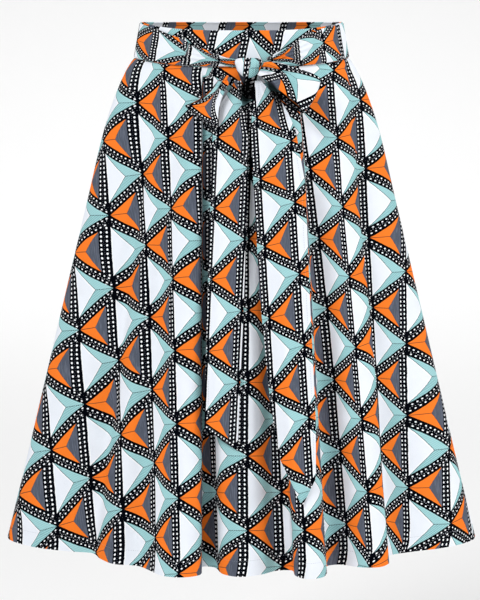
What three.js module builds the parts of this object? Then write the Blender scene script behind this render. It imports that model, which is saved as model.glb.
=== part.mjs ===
// A worn midi skirt: a flared, softly pleated skirt on a shaped waistband, with a tied sash.
// Millimetres, +Z up, front towards -Y. The origin is the centre of the waist opening.
import * as THREE from 'three';

// Driving dimensions
const CLOTH = 1.6;                 // thickness of the skirt, sash and bow cloth
const BAND_CLOTH = 2.2;            // the waistband is double
const SEAM_GAP = 0.3;
const WAIST = { halfWidth: 139, halfDepth: 100 };
const SEAM = { halfWidth: 147.5, halfDepth: 104 };
const BAND_HEIGHT = 48;
const FRONT_DIP = 11;              // the waist edge is cut lower at the centre front
const HEM_Z = -720;
const CURVE_STEPS = 3;             // facets between two rows of a fold table
const BAND_FACETS = 30;
const SEAM_END = SEAM_GAP / 2;     // half of the gap between front and back at the sides

// How far the skirt has spread from the waist seam (0) to the hem (1), by the drop below the seam.
const FLARE = [
  { drop: 0, spread: 0 },
  { drop: 18, spread: 0.062 },
  { drop: 50, spread: 0.14 },
  { drop: 100, spread: 0.232 },
  { drop: 200, spread: 0.366 },
  { drop: 330, spread: 0.54 },
  { drop: 460, spread: 0.713 },
  { drop: 580, spread: 0.873 },
  { drop: 672, spread: 1 },
];

// Each row is one line of a fold, from the waist seam down to the hem.
// seamX and hemX are its places across the skirt, depth is its distance from the side-to-side plane.
const FRONT_FOLDS = [
  { seamX: -147.5, hemX: -330, depth: 0 },
  { seamX: -146, hemX: -326, depth: 20 },
  { seamX: -139, hemX: -309, depth: 45 },
  { seamX: -128, hemX: -278, depth: 71 },
  { seamX: -113, hemX: -236, depth: 90 },
  { seamX: -102, hemX: -204, depth: 100 },
  { seamX: -96, hemX: -191, depth: 131 },
  { seamX: -89, hemX: -171, depth: 160 },
  { seamX: -80, hemX: -139, depth: 170 },
  { seamX: -75, hemX: -123, depth: 192 },
  { seamX: -69, hemX: -104, depth: 222 },
  { seamX: -62, hemX: -79, depth: 231 },
  { seamX: -53, hemX: -55, depth: 218 },
  { seamX: -51, hemX: -51, depth: 174 },
  { seamX: -44, hemX: -37, depth: 177 },
  { seamX: -38, hemX: -24, depth: 214 },
  { seamX: -20, hemX: -4, depth: 228 },
  { seamX: 4, hemX: 14, depth: 223 },
  { seamX: 9, hemX: 29, depth: 213 },
  { seamX: 15, hemX: 46, depth: 196 },
  { seamX: 27, hemX: 66, depth: 194 },
  { seamX: 34, hemX: 71, depth: 223 },
  { seamX: 45, hemX: 85, depth: 239 },
  { seamX: 63, hemX: 105, depth: 231 },
  { seamX: 71, hemX: 112, depth: 210 },
  { seamX: 73, hemX: 115, depth: 170 },
  { seamX: 84, hemX: 131, depth: 163 },
  { seamX: 106, hemX: 160, depth: 178 },
  { seamX: 126, hemX: 183, depth: 177 },
  { seamX: 139, hemX: 197, depth: 158 },
  { seamX: 140.5, hemX: 201, depth: 114 },
  { seamX: 142.5, hemX: 238, depth: 90 },
  { seamX: 144.5, hemX: 276, depth: 71 },
  { seamX: 146, hemX: 306, depth: 47 },
  { seamX: 147, hemX: 325, depth: 21 },
  { seamX: 147.5, hemX: 330, depth: 0 },
];
const BACK_FOLDS = [
  { seamX: -147.5, hemX: -330, depth: 0 },
  { seamX: -146, hemX: -326, depth: 28 },
  { seamX: -139, hemX: -308, depth: 60 },
  { seamX: -127, hemX: -276, depth: 86 },
  { seamX: -114, hemX: -242, depth: 98 },
  { seamX: -104, hemX: -213, depth: 124 },
  { seamX: -93, hemX: -182, depth: 154 },
  { seamX: -80, hemX: -150, depth: 158 },
  { seamX: -70, hemX: -126, depth: 182 },
  { seamX: -58, hemX: -96, depth: 206 },
  { seamX: -46, hemX: -66, depth: 198 },
  { seamX: -36, hemX: -44, depth: 170 },
  { seamX: -24, hemX: -22, depth: 188 },
  { seamX: -8, hemX: 2, depth: 218 },
  { seamX: 8, hemX: 30, depth: 219 },
  { seamX: 22, hemX: 52, depth: 192 },
  { seamX: 36, hemX: 76, depth: 174 },
  { seamX: 50, hemX: 100, depth: 194 },
  { seamX: 66, hemX: 126, depth: 208 },
  { seamX: 82, hemX: 152, depth: 180 },
  { seamX: 95, hemX: 180, depth: 148 },
  { seamX: 105, hemX: 210, depth: 140 },
  { seamX: 116, hemX: 242, depth: 116 },
  { seamX: 128, hemX: 278, depth: 84 },
  { seamX: 139, hemX: 308, depth: 60 },
  { seamX: 146, hemX: 326, depth: 28 },
  { seamX: 147.5, hemX: 330, depth: 0 },
];

// The sash: each arm leaves a side seam at the full height of the band and is drawn in to the knot.
// top and foot are heights measured down from the band's own upper edge.
const ARM_LEFT = [
  { x: -137, top: 1, foot: 47 },
  { x: -110, top: 4, foot: 47 },
  { x: -80, top: 12, foot: 47.6 },
  { x: -50, top: 24, foot: 47.6 },
  { x: -21, top: 35, foot: 47.6 },
];
const ARM_RIGHT = [
  { x: 137, top: 1, foot: 47 },
  { x: 112, top: 1.5, foot: 47.6 },
  { x: 92, top: 3, foot: 47.6 },
  { x: 62, top: 20, foot: 47.6 },
  { x: 33, top: 36, foot: 47.6 },
];
const ARM_FACETS = { along: 18, across: 12 };
const ARM_RIDGES = 4;
const ARM_RIDGE_HEIGHT = 3;
const KNOT = {
  x: 6, z: -61, halfWidth: 24, halfHeight: 14, halfDepth: 10, lift: 2.6, creases: 5, creaseDepth: 0.07,
};
const KNOT_FACETS = { around: 20, rings: 10 };

// A loop leaves the knot at (x, z), runs along its direction and comes back in front of itself.
const LOOP_LEFT = { x: -9, z: -77, length: 66, lean: -36, neck: 13, bend: 52, swell: 12, lift: 4.3 };
const LOOP_RIGHT = { x: 30, z: -69, length: 72, lean: 60, neck: 15, bend: 52, swell: 17, lift: 1.1 };
const LOOP_FACETS = { along: 20, across: 6 };
const LOOP_FULLNESS = 0.8;         // below 1 the loop widens sooner on its way from the knot
const LOOP_PUFF = 4;               // the front layer stands this much further out

// A tail hangs over the front of the skirt; left and right are its two edges at each height.
const TAIL_LEFT = [
  { z: -77, left: -8, right: 5 },
  { z: -100, left: -24, right: 8 },
  { z: -140, left: -38, right: 10.5 },
  { z: -230, left: -41, right: 7.5 },
  { z: -360, left: -45, right: 2.5 },
  { z: -527, left: -49, right: -6 },
];
const TAIL_RIGHT = [
  { z: -77, left: 7, right: 22 },
  { z: -100, left: 10.5, right: 48 },
  { z: -140, left: 12.5, right: 70 },
  { z: -210, left: 15.5, right: 84 },
  { z: -360, left: 24, right: 90 },
  { z: -500, left: 38, right: 97 },
  { z: -569, left: 51, right: 97 },
];
// The cut end of a tail: how far its left corner, its lowest point and its right corner hang below
// the last row, and how far across the lowest point is.
const TAIL_LEFT_END = { left: 0, tip: 15, right: 30, tipAt: 0.5 };
const TAIL_RIGHT_END = { left: 0, tip: 57, right: 22, tipAt: 0.625 };
const TAIL_FACETS = { across: 8, step: 34 };
const TAIL_SPAN = 30;              // a tail bridges the hollows narrower than twice this

const fabric = (color) => new THREE.MeshStandardMaterial({ color, roughness: 0.85, metalness: 0 });
const SKIRT_CLOTH = fabric(0x6fa39e);
const BAND_FABRIC = fabric(0xe07a35);
const SASH_FABRIC = fabric(0x5c6170);

const lerp = THREE.MathUtils.lerp;

// The value of a column at key, read between the rows of a table sorted by another column.
function readTable(rows, keyName, valueName, key) {
  const rising = rows[rows.length - 1][keyName] > rows[0][keyName];
  for (let i = 1; i < rows.length; i += 1) {
    const before = rows[i - 1];
    const after = rows[i];
    const passed = rising ? key <= after[keyName] : key >= after[keyName];
    if (passed || i === rows.length - 1) {
      const share = (key - before[keyName]) / (after[keyName] - before[keyName]);
      return lerp(before[valueName], after[valueName], THREE.MathUtils.clamp(share, 0, 1));
    }
  }
  return rows[0][valueName];
}

const ellipseDepth = (ring, x) => (
  ring.halfDepth * Math.sqrt(Math.max(0, 1 - (x / ring.halfWidth) ** 2))
);

// How far the upper edge of the front band lies below the waist, by its share of the half width.
const dip = (share) => FRONT_DIP * (1 - Math.abs(share) ** 3.5);
const seamTop = (x, side) => -BAND_HEIGHT - (side < 0 ? dip(x / SEAM.halfWidth) : 0);

// One closed wall between an outer and an inner grid of points, both with the same rows.
function wall(name, material, outer, inner) {
  const cols = outer[0].length;
  const rows = outer.length;
  const points = [...outer.flat(), ...inner.flat()];
  const innerStart = rows * cols;
  const index = [];
  const quad = (a, b, c, d) => index.push(a, b, c, a, c, d);
  for (let r = 0; r < rows - 1; r += 1) {
    for (let c = 0; c < cols - 1; c += 1) {
      const a = r * cols + c;
      quad(a, a + 1, a + cols + 1, a + cols);
      const b = innerStart + a;
      quad(b, b + cols, b + cols + 1, b + 1);
    }
  }
  const rim = (a, b) => quad(a, innerStart + a, innerStart + b, b);
  for (let c = 0; c < cols - 1; c += 1) {
    rim(c, c + 1);
    rim((rows - 1) * cols + c + 1, (rows - 1) * cols + c);
  }
  for (let r = 0; r < rows - 1; r += 1) {
    rim((r + 1) * cols, r * cols);
    rim(r * cols + cols - 1, (r + 1) * cols + cols - 1);
  }
  return solid(name, material, points, index);
}

// A mesh of shared points, with its faces turned outwards.
function solid(name, material, points, index) {
  let volume = 0;
  for (let i = 0; i < index.length; i += 3) {
    const [a, b, c] = [points[index[i]], points[index[i + 1]], points[index[i + 2]]];
    volume += a.dot(new THREE.Vector3().crossVectors(b, c));
  }
  const faces = volume < 0 ? index.slice().reverse() : index;
  const geometry = new THREE.BufferGeometry();
  geometry.setAttribute('position', new THREE.Float32BufferAttribute(
    points.flatMap((p) => [p.x, p.y, p.z]), 3));
  geometry.setIndex(faces);
  geometry.computeVertexNormals();
  const mesh = new THREE.Mesh(geometry, material);
  mesh.name = name;
  return mesh;
}

// The plan line of the skirt at one spread, as points on a smooth curve through the fold lines.
function planLine(folds, side, spread) {
  const knots = folds.map((row) => new THREE.Vector3(
    lerp(row.seamX, row.hemX, spread),
    side * lerp(ellipseDepth(SEAM, row.seamX), row.depth, spread),
    0));
  const curve = new THREE.CatmullRomCurve3(knots, false, 'centripetal');
  return curve.getPoints((knots.length - 1) * CURVE_STEPS);
}

// The same line moved inwards by the thickness of the cloth, square to the line but at its ends.
function insetLine(line, side, thickness) {
  return line.map((point, i) => {
    if (i === 0 || i === line.length - 1) {
      return point.clone().add(new THREE.Vector3(i === 0 ? thickness : -thickness, 0, 0));
    }
    const along = line[i + 1].clone().sub(line[i - 1]).normalize();
    return point.clone().add(new THREE.Vector3(side * along.y, -side * along.x, 0)
      .multiplyScalar(thickness));
  });
}

// Both ends of a panel stop short of the side plane, so that front and back never touch.
function raised(line, side, heights) {
  return line.map((point, i) => new THREE.Vector3(
    point.x, side * Math.max(side * point.y, SEAM_END), heights[i]));
}

function skirtPanel(name, folds, side) {
  const outer = [];
  const inner = [];
  const seamLine = planLine(folds, side, 0);
  const fullDrop = FLARE[FLARE.length - 1].drop;
  for (const level of FLARE) {
    const line = planLine(folds, side, level.spread);
    const heights = seamLine.map((point) => lerp(
      seamTop(point.x, side) - SEAM_GAP, HEM_Z, level.drop / fullDrop));
    outer.push(raised(line, side, heights));
    inner.push(raised(insetLine(line, side, CLOTH), side, heights));
  }
  return wall(name, SKIRT_CLOTH, outer, inner);
}

// A point on the outside of the band: angle 0 is the wearer's right side, share runs down it.
function bandPoint(angle, share, side, offset) {
  const halfWidth = lerp(WAIST.halfWidth, SEAM.halfWidth, share) + offset;
  const halfDepth = lerp(WAIST.halfDepth, SEAM.halfDepth, share) + offset;
  const across = -Math.cos(angle);
  const top = side < 0 ? -dip(across) : 0;
  return new THREE.Vector3(
    halfWidth * across,
    side * Math.max(halfDepth * Math.sin(angle), SEAM_END),
    top - BAND_HEIGHT * share);
}

function bandPanel(name, side) {
  const rowAt = (share, offset) => Array.from({ length: BAND_FACETS + 1 }, (_, i) => (
    bandPoint(Math.PI * i / BAND_FACETS, share, side, offset)));
  const shares = [0, 0.5, 1];
  return wall(name, BAND_FABRIC,
    shares.map((share) => rowAt(share, 0)),
    shares.map((share) => rowAt(share, -BAND_CLOTH)));
}

// An arm of the sash is the band's own surface moved out, with ridges that deepen to the knot.
function sashArm(name, rows) {
  const startAngle = Math.acos(-rows[0].x / WAIST.halfWidth);
  const endAngle = Math.acos(-rows[rows.length - 1].x / WAIST.halfWidth);
  const outer = [];
  const inner = [];
  for (let i = 0; i <= ARM_FACETS.along; i += 1) {
    const angle = lerp(startAngle, endAngle, i / ARM_FACETS.along);
    const x = -WAIST.halfWidth * Math.cos(angle);
    const top = readTable(rows, 'x', 'top', x);
    const foot = readTable(rows, 'x', 'foot', x);
    const outerRow = [];
    const innerRow = [];
    for (let j = 0; j <= ARM_FACETS.across; j += 1) {
      const share = lerp(top, foot, j / ARM_FACETS.across) / BAND_HEIGHT;
      const wave = 1 - Math.cos(2 * Math.PI * ARM_RIDGES * j / ARM_FACETS.across);
      const ridge = 0.5 * ARM_RIDGE_HEIGHT * wave * (i / ARM_FACETS.along);
      innerRow.push(bandPoint(angle, share, -1, 2 * SEAM_GAP + ridge));
      outerRow.push(bandPoint(angle, share, -1, 2 * SEAM_GAP + ridge + CLOTH));
    }
    outer.push(outerRow);
    inner.push(innerRow);
  }
  return wall(name, SASH_FABRIC, outer, inner);
}

// The depth of the skirt's front at x and z, or of its highest fold within span to either side.
const frontLines = FLARE.map((level) => planLine(FRONT_FOLDS, -1, level.spread));
function lineDepth(line, x, span) {
  let deepest = 0;
  for (let i = 1; i < line.length; i += 1) {
    const a = line[i - 1];
    const b = line[i];
    const low = Math.min(a.x, b.x);
    const high = Math.max(a.x, b.x);
    if (high >= x - span && low <= x + span) {
      deepest = Math.max(deepest, -a.y, -b.y);
    }
  }
  return deepest;
}
function frontDepth(x, z, span) {
  const seamZ = seamTop(x, -1);
  const fullDrop = FLARE[FLARE.length - 1].drop;
  const drop = THREE.MathUtils.clamp((seamZ - z) / (seamZ - HEM_Z), 0, 1) * fullDrop;
  let level = 1;
  while (level < FLARE.length - 1 && FLARE[level].drop < drop) {
    level += 1;
  }
  const share = (drop - FLARE[level - 1].drop) / (FLARE[level].drop - FLARE[level - 1].drop);
  return lerp(lineDepth(frontLines[level - 1], x, span), lineDepth(frontLines[level], x, span), share);
}

function endDrop(end, side) {
  if (side < end.tipAt) {
    return lerp(end.left, end.tip, side / end.tipAt);
  }
  return lerp(end.tip, end.right, (side - end.tipAt) / (1 - end.tipAt));
}

function tail(name, rows, end) {
  const topZ = rows[0].z;
  const lastZ = rows[rows.length - 1].z;
  const steps = Math.ceil((topZ - lastZ) / TAIL_FACETS.step);
  const outer = [];
  const inner = [];
  for (let i = 0; i <= steps; i += 1) {
    const share = i / steps;
    const z = lerp(topZ, lastZ, share);
    const left = readTable(rows, 'z', 'left', z);
    const right = readTable(rows, 'z', 'right', z);
    const outerRow = [];
    const innerRow = [];
    for (let j = 0; j <= TAIL_FACETS.across; j += 1) {
      const side = j / TAIL_FACETS.across;
      const x = lerp(left, right, side);
      const hang = z - endDrop(end, side) * share ** 2;
      const depth = frontDepth(x, hang, TAIL_SPAN) + 2 * SEAM_GAP;
      innerRow.push(new THREE.Vector3(x, -depth, hang));
      outerRow.push(new THREE.Vector3(x, -depth - CLOTH, hang));
    }
    outer.push(outerRow);
    inner.push(innerRow);
  }
  return wall(name, SASH_FABRIC, outer, inner);
}

// A loop of the bow: a strip that runs down behind, turns at its end and comes back in front.
function loop(name, size) {
  const lean = THREE.MathUtils.degToRad(size.lean);
  const line = [];
  for (let i = 0; i <= LOOP_FACETS.along; i += 1) {
    const turn = Math.PI * i / LOOP_FACETS.along;
    const reach = Math.sin(turn) ** LOOP_FULLNESS;
    const puff = turn > Math.PI / 2 ? LOOP_PUFF * reach : 0;
    line.push({
      reach,
      along: size.length * reach,
      lift: size.lift + size.swell * (1 - Math.cos(turn)) / 2 + puff,
    });
  }
  const place = (row, sideways, lift) => {
    const x = size.x + row.along * Math.sin(lean) + sideways * Math.cos(lean);
    const z = size.z - row.along * Math.cos(lean) + sideways * Math.sin(lean);
    return new THREE.Vector3(x, -frontDepth(x, z, TAIL_SPAN) - lift, z);
  };
  const outer = [];
  const inner = [];
  line.forEach((row, i) => {
    const before = line[Math.max(0, i - 1)];
    const after = line[Math.min(line.length - 1, i + 1)];
    const run = new THREE.Vector2(after.along - before.along, after.lift - before.lift).normalize();
    const halfWidth = lerp(size.neck, size.bend, row.reach) / 2;
    const outerRow = [];
    const innerRow = [];
    for (let j = 0; j <= LOOP_FACETS.across; j += 1) {
      const sideways = lerp(-halfWidth, halfWidth, j / LOOP_FACETS.across);
      innerRow.push(place(row, sideways, row.lift));
      const moved = { ...row, along: row.along + CLOTH * run.y };
      outerRow.push(place(moved, sideways, row.lift - CLOTH * run.x));
    }
    outer.push(outerRow);
    inner.push(innerRow);
  });
  return wall(name, SASH_FABRIC, outer, inner);
}

// The knot is a rounded lump with upright creases, seated on the band's lower edge.
function knot(name) {
  const { around: columns, rings } = KNOT_FACETS;
  const points = [new THREE.Vector3(0, 0, 1)];
  const index = [];
  for (let r = 1; r < rings; r += 1) {
    const polar = Math.PI * r / rings;
    for (let c = 0; c < columns; c += 1) {
      const angle = 2 * Math.PI * c / columns;
      points.push(new THREE.Vector3(
        Math.sin(polar) * Math.cos(angle), Math.sin(polar) * Math.sin(angle), Math.cos(polar)));
    }
  }
  points.push(new THREE.Vector3(0, 0, -1));
  const last = points.length - 1;
  const at = (r, c) => 1 + (r - 1) * columns + (c % columns);
  for (let c = 0; c < columns; c += 1) {
    index.push(0, at(1, c), at(1, c + 1));
    index.push(last, at(rings - 1, c + 1), at(rings - 1, c));
    for (let r = 1; r < rings - 1; r += 1) {
      index.push(at(r, c), at(r + 1, c), at(r + 1, c + 1));
      index.push(at(r, c), at(r + 1, c + 1), at(r, c + 1));
    }
  }
  const seat = SEAM.halfDepth + SEAM_GAP + KNOT.halfDepth + KNOT.lift;
  const placed = points.map((p) => {
    const crease = 1 + KNOT.creaseDepth * Math.cos(KNOT.creases * Math.PI * p.x) * (p.y < 0 ? 1 : 0);
    return new THREE.Vector3(
      KNOT.x + KNOT.halfWidth * p.x,
      -seat + KNOT.halfDepth * p.y * crease,
      KNOT.z + KNOT.halfHeight * p.z);
  });
  return solid(name, SASH_FABRIC, placed, index);
}

const skirt = new THREE.Group();
skirt.name = 'midi_skirt';
skirt.add(
  skirtPanel('skirt_front', FRONT_FOLDS, -1),
  skirtPanel('skirt_back', BACK_FOLDS, 1),
  bandPanel('waistband_front', -1),
  bandPanel('waistband_back', 1),
  sashArm('sash_arm_left', ARM_LEFT),
  sashArm('sash_arm_right', ARM_RIGHT),
  knot('bow_knot'),
  loop('bow_loop_left', LOOP_LEFT),
  loop('bow_loop_right', LOOP_RIGHT),
  tail('tail_left', TAIL_LEFT, TAIL_LEFT_END),
  tail('tail_right', TAIL_RIGHT, TAIL_RIGHT_END),
);

export default skirt;
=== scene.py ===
"""A worn midi skirt in printed cotton, with a tied sash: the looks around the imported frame."""
import math

import bpy
import numpy as np
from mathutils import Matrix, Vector


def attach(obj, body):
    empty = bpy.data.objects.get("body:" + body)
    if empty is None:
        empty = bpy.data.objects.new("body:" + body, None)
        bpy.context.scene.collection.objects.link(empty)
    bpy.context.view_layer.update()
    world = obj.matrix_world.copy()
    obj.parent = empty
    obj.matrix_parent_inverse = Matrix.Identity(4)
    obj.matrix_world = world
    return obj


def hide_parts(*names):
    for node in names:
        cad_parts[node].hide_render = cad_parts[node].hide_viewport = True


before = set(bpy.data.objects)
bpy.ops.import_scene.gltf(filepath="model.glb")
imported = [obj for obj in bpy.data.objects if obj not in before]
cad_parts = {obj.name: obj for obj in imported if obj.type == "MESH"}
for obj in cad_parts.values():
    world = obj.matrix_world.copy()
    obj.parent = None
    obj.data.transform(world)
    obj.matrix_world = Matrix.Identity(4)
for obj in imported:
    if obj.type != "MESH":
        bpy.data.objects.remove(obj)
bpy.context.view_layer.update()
MM = 0.001

# Shape of the garment, in millimetres
WALL = 1.1
BAND_WALL = 2.0
SEAM_GAP = 0.3
SHARP_DEGREES = 60
WAIST = (139.0, 100.0)
SEAM = (147.5, 104.0)
BAND_HEIGHT = 48.0
FRONT_DIP = 11.0
HEM_Z = -720.0
FULL_DROP = 672.0
GATHER = 1.35
# The flare: drops below the waist seam, and the share of the way from seam line to hem line there.
FLARE_DROP = [0, 18, 50, 100, 200, 330, 460, 580, 672]
FLARE_SPREAD = [0, 0.062, 0.14, 0.232, 0.366, 0.54, 0.713, 0.873, 1]
CURVE_STEPS = 8
FLARE_STEPS = 12
PANEL_ROWS = 110
ROW_EASE = 1.15
# The cloth at the waist seam is drawn in by this much, and eases out over this much of its length.
SEAM_TUCK = (1.1, 3.5)
SIDE_FADE = 14
FRONT, BACK = -1, 1

# Fold lines: x at the seam, x at the hem, depth at the hem, and whether a pleat side follows.
FRONT_FOLDS = [
    (-147.5, -330, 0, 0), (-146, -326, 20, 0), (-139, -309, 45, 0), (-128, -278, 71, 0),
    (-113, -236, 90, 0), (-102, -204, 100, 0), (-96, -191, 131, 0), (-89, -171, 160, 0),
    (-80, -139, 170, 0), (-75, -123, 192, 0), (-69, -104, 222, 0), (-62, -79, 231, 0),
    (-53, -55, 218, 1), (-51, -51, 174, 0), (-44, -37, 177, 1), (-38, -24, 214, 0),
    (-20, -4, 228, 0), (4, 14, 223, 0), (9, 29, 213, 1), (15, 46, 196, 0),
    (27, 66, 194, 1), (34, 71, 223, 0), (45, 85, 239, 0), (63, 105, 231, 0),
    (71, 112, 210, 1), (73, 115, 170, 0), (84, 131, 163, 0), (106, 160, 178, 0),
    (126, 183, 177, 0), (139, 197, 158, 1), (140.5, 201, 114, 0), (142.5, 238, 90, 0),
    (144.5, 276, 71, 0), (146, 306, 47, 0), (147, 325, 21, 0), (147.5, 330, 0, 0),
]
BACK_FOLDS = [
    (-147.5, -330, 0, 0), (-146, -326, 28, 0), (-139, -308, 60, 0), (-127, -276, 86, 0),
    (-114, -242, 98, 0), (-104, -213, 124, 0), (-93, -182, 154, 0), (-80, -150, 158, 0),
    (-70, -126, 182, 0), (-58, -96, 206, 0), (-46, -66, 198, 0), (-36, -44, 170, 0),
    (-24, -22, 188, 0), (-8, 2, 218, 0), (8, 30, 219, 0), (22, 52, 192, 0),
    (36, 76, 174, 0), (50, 100, 194, 0), (66, 126, 208, 0), (82, 152, 180, 0),
    (95, 180, 148, 0), (105, 210, 140, 0), (116, 242, 116, 0), (128, 278, 84, 0),
    (139, 308, 60, 0), (146, 326, 28, 0), (147.5, 330, 0, 0),
]

# The print: a lattice of arrowhead triangles between dotted strips, in millimetres of flat cloth
PITCH = 55.5
REPEAT = 95.0
APEX_GAP = 1.0
WHITE_START = 0.4
UPRIGHT_WIDTH = 13.0
UPRIGHT_MIDDLE = 7.2
WHITE_HALF_BASE = 32.0
ORANGE_HALF_BASE = 25.6
WHITE_POINT = 0.55
GREY_POINT = 0.42
WHITE_RIM = 1.2
DOT_ROW = 3.1
DOT_LONG = 1.5
DOT_SHORT = 1.15
DOTS_UP = 17
SLANT_PITCH = 6.1
SLANT_HALF = 5.0
SLANT_DOT_SIZE = 0.85
TIP_CLEAR = 1.3
# Specks between the dots: how far they sway, and their radius.
SLANT_SPECKS = (0.9, 0.45)
UPRIGHT_SPECKS = (0.4, 0.3)
OUTLINE = 1.1
FINE_OUTLINE = 0.6
LINE_STRENGTH = 0.8
RIDGE_LINE = 0.55
RIDGE_DASH = (2.3, 0.3)
HATCH = (1.9, 0.4)
HATCH_STRENGTH = (0.25, 0.45)
STREAKS = (900.0, 0.56)
# How the printed edges wander: noise scale to the metre of cloth, noise detail, and reach.
WANDER_ACROSS = (60.0, 2.0, 1.2)
JITTER_ACROSS = (420.0, 0.0, 0.7)
WANDER_UP = (47.0, 2.0, 1.2)

# The cotton's surface, and its thread
COTTON_ROUGHNESS = 0.76
COTTON_SPECULAR = 0.02
COTTON_SHEEN = 0.006
MOTTLE_SCALE = 35.0
MOTTLE_TONE = 0.1
WEAVE_TONE = 0.06
DARKEST_TONE = 0.92
SLUB_SCALE = 180.0
SLUB_HEIGHT = 1.2
BUMP_STRENGTH = 0.35
BUMP_DEPTH_M = 0.00025
THREAD_ROUGHNESS = 0.6
THREAD_SPECULAR = 0.2

# Lines of the print down the front, as lattice lines counted from the left: the line's place in
# pixels across the photograph at the three heights of GRAIN_HEIGHTS, the height in pixels of one
# lattice point on it, and the fold lines that it runs between.
GRAIN_HEIGHTS = (100.0, 330.0, 560.0)
GRAIN_EASE = (1.039, -5.8e-5)
PAST_LINES = 8 * PITCH
LINE_BLUR = 4
# Near the waist seam some lines are drawn aside by the gathers, by so many pixels at the seam.
SEAM_PX = 62.0
PULL_FADE = 20.0
SEAM_PULL = {3: 8, 4: 12, 5: -3, 14: -17, 15: -22, 16: -22}
FRONT_GRAIN = [
    (0, -6, 9, 25, 494.7, 0, 12), (1, 25.5, 43, 60.5, 450, 0, 12), (2, 65.8, 80, 97.4, 404.2, 0, 12),
    (3, 101.5, 116.5, 125, 360, 0, 12), (4, 135.5, 151, 155.5, 389.5, 0, 12),
    (5, 166.5, 174.5, 180, 350.5, 0, 12), (7, 213, 213.5, 218.5, 492, 13, 18),
    (8, 256, 249, 248.3, 456, 14, 18), (10, 275, 293, 306, 530, 21, 24),
    (12, 301, 330, 349, 451, 25, 29), (13, 336, 354.5, 373, 419.3, 25, 29),
    (14, 363.5, 373.5, 387, 377.8, 30, 35), (15, 403, 406.6, 409.7, 415.5, 30, 35),
    (16, 440, 446, 452, 523.5, 30, 35),
]

# The photograph's camera, in metres and in pixels of the 480 x 600 frame
CAMERA_DISTANCE = 3.0
FOCAL_PX = 2172.0
TILT = math.atan(278 / FOCAL_PX)
FRAME_WIDE_PX = 480
FRAME_HIGH_PX = 600
AXIS_SHIFT_M = -0.0021
MM_PER_PX = 1.32


def srgb(red, green, blue):
    """A colour of 0 to 255 as the linear values that a shader takes."""
    out = []
    for value in (red, green, blue):
        share = value / 255
        out.append(share / 12.92 if share <= 0.04045 else ((share + 0.055) / 1.055) ** 2.4)
    return (*out, 1.0)


def centripetal(knots, steps):
    """Points on a centripetal Catmull-Rom curve through the knots."""
    knots = np.asarray(knots, float)
    padded = np.vstack([2 * knots[0] - knots[1], knots, 2 * knots[-1] - knots[-2]])
    share = np.linspace(0, 1, steps, endpoint=False)[:, None]
    out = []
    for i in range(1, len(padded) - 2):
        a, b, c, d = padded[i - 1:i + 3]
        gap = [max(np.linalg.norm(q - p) ** 0.5, 1e-4) for p, q in ((a, b), (b, c), (c, d))]
        start = ((b - a) / gap[0] - (c - a) / (gap[0] + gap[1]) + (c - b) / gap[1]) * gap[1]
        end = ((c - b) / gap[1] - (d - b) / (gap[1] + gap[2]) + (d - c) / gap[2]) * gap[1]
        cubic = 2 * b - 2 * c + start + end
        square = -3 * b + 3 * c - 2 * start - end
        out.append(b + start * share + square * share ** 2 + cubic * share ** 3)
    return np.vstack(out + [knots[-1:]])


def smooth(low, high, value):
    """An eased step from 0 at low to 1 at high."""
    share = np.clip((value - low) / (high - low), 0, 1)
    return share * share * (3 - 2 * share)


def flare(drop):
    """The spread at a drop below the seam, on a smooth curve through the table."""
    table = centripetal(np.column_stack([FLARE_DROP, np.array(FLARE_SPREAD) * FULL_DROP]), FLARE_STEPS)
    return np.interp(drop, table[:, 0], table[:, 1]) / FULL_DROP


def dip(share):
    """How far the front of the waist hangs lower, at a share of its half width."""
    return FRONT_DIP * (1 - np.abs(np.clip(share, -1, 1)) ** 3.5)


def plan_line(folds, side, spread):
    """The plan of the skirt at one spread: x and y of points through all the fold lines."""
    rows = np.array([row[:3] for row in folds], float)
    seam_depth = SEAM[1] * np.sqrt(np.clip(1 - (rows[:, 0] / SEAM[0]) ** 2, 0, 1))
    x = rows[:, 0] * (1 - spread) + rows[:, 1] * spread
    depth = seam_depth * (1 - spread) + rows[:, 2] * spread
    return centripetal(np.column_stack([x, side * depth]), CURVE_STEPS)


def arc_length(points, axis=0):
    """The length run so far at each point, along one axis of a line or a grid."""
    first = points[:1] if axis == 0 else points[:, :1]
    steps = np.linalg.norm(np.diff(points, axis=axis, prepend=first), axis=-1)
    return steps.cumsum(axis=axis)


def grid_normals(grid):
    """Unit normals of a grid of points, from its two directions."""
    down = np.gradient(grid, axis=0)
    along = np.gradient(grid, axis=1)
    normal = np.cross(down, along)
    return normal / np.maximum(np.linalg.norm(normal, axis=2, keepdims=True), 1e-9)


# Mesh making

def linked(name, points, faces, materials, smooth_faces=True):
    """A mesh object in the scene, from points in metres."""
    mesh = bpy.data.meshes.new(name)
    mesh.from_pydata(points.tolist(), [], faces)
    mesh.polygons.foreach_set("use_smooth", np.full(len(mesh.polygons), smooth_faces))
    for material in materials:
        mesh.materials.append(material)
    mesh.update()
    piece = bpy.data.objects.new(name, mesh)
    bpy.context.scene.collection.objects.link(piece)
    return piece


def lay_print(mesh, corners):
    """The cloth coordinates of a mesh, in millimetres of cloth, one pair for each face corner."""
    layer = mesh.uv_layers.new(name="cloth")
    layer.data.foreach_set("uv", (corners * MM).ravel())


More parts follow.
